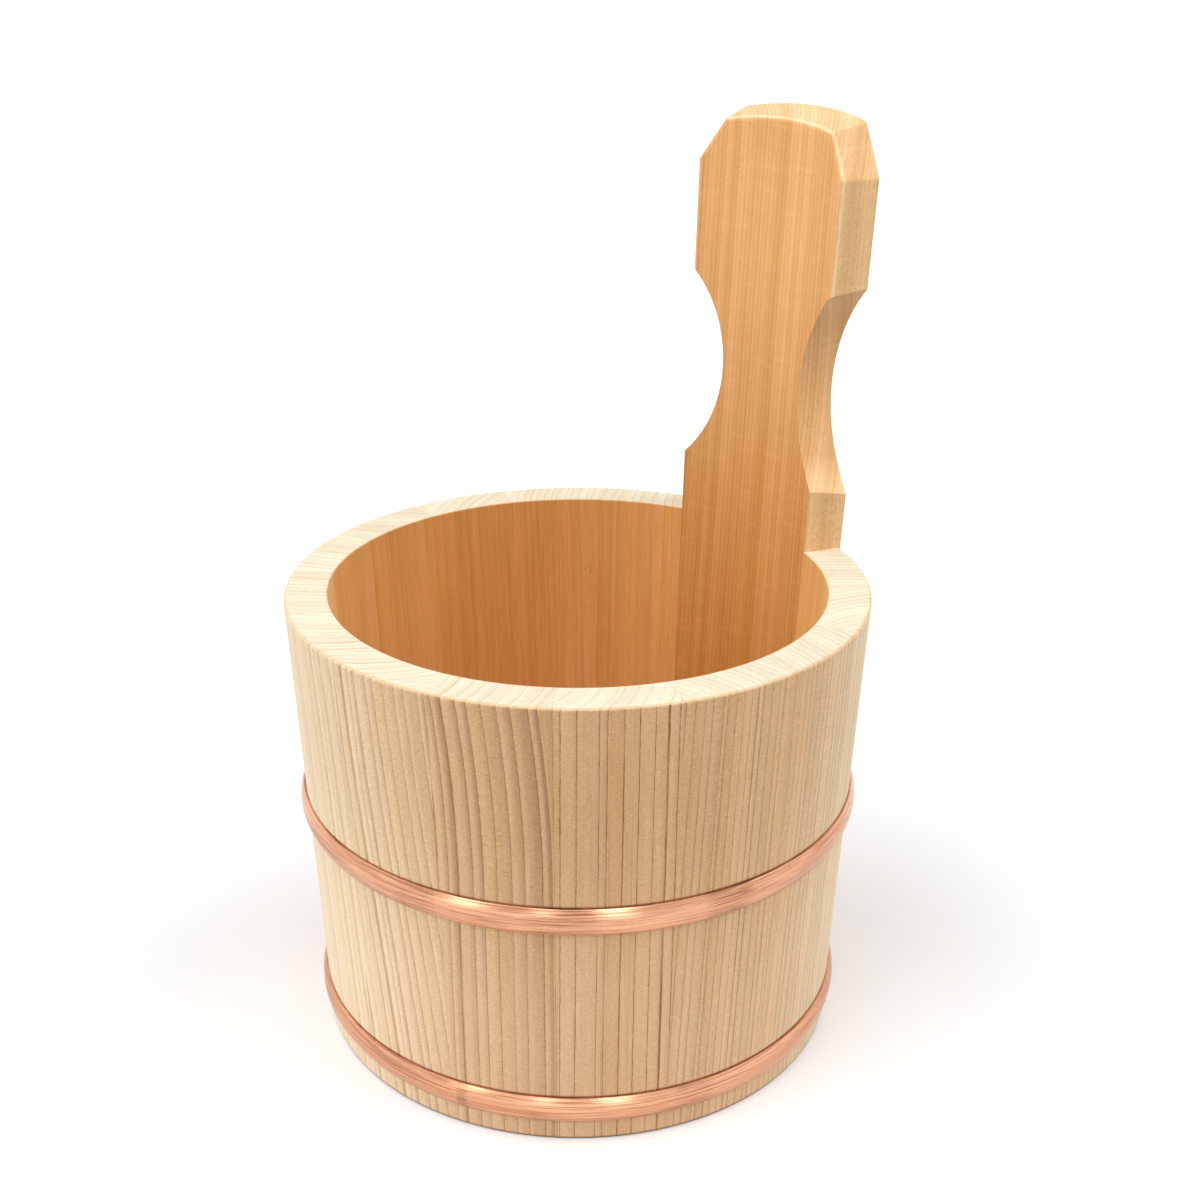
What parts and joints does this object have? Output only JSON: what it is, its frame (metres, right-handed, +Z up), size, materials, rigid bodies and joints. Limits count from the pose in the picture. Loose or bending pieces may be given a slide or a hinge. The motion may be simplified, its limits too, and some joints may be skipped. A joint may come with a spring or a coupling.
{
  "type": "bath bowl with handle",
  "caption": "Wooden bath bowl built of upright staves, with one long stave as a tall waisted handle, two copper hoops and a let-in bottom.",
  "frame": {"origin": "on the tub's upright axis, in the plane that the foot stands on", "axes": "+Z up along the axis, +Y from the axis towards the handle stave, +X to the right seen from the side opposite the handle"},
  "size_m": [0.2098, 0.2177, 0.3282],
  "materials": {
    "stave_wood": "planed, bare",
    "handle_wood": "planed, bare",
    "bottom_wood": "planed, bare",
    "copper": "brushed lengthwise",
    "bamboo": "split and shaved"
  },
  "bodies": {
    "root": {"handle_stave": "handle_wood", "stave_01": "stave_wood", "stave_02": "stave_wood", "stave_03": "stave_wood", "stave_04": "stave_wood", "stave_05": "stave_wood", "stave_06": "stave_wood", "stave_07": "stave_wood", "stave_08": "stave_wood", "stave_09": "stave_wood", "stave_10": "stave_wood", "stave_11": "stave_wood", "stave_12": "stave_wood", "stave_13": "stave_wood", "stave_14": "stave_wood", "bottom_plank_01": "bottom_wood", "bottom_plank_02": "bottom_wood", "bottom_plank_03": "bottom_wood", "upper_hoop": "copper", "lower_hoop": "copper", "stave_pegs": "bamboo", "bottom_pegs": "bamboo"}
  },
  "joints": []
}
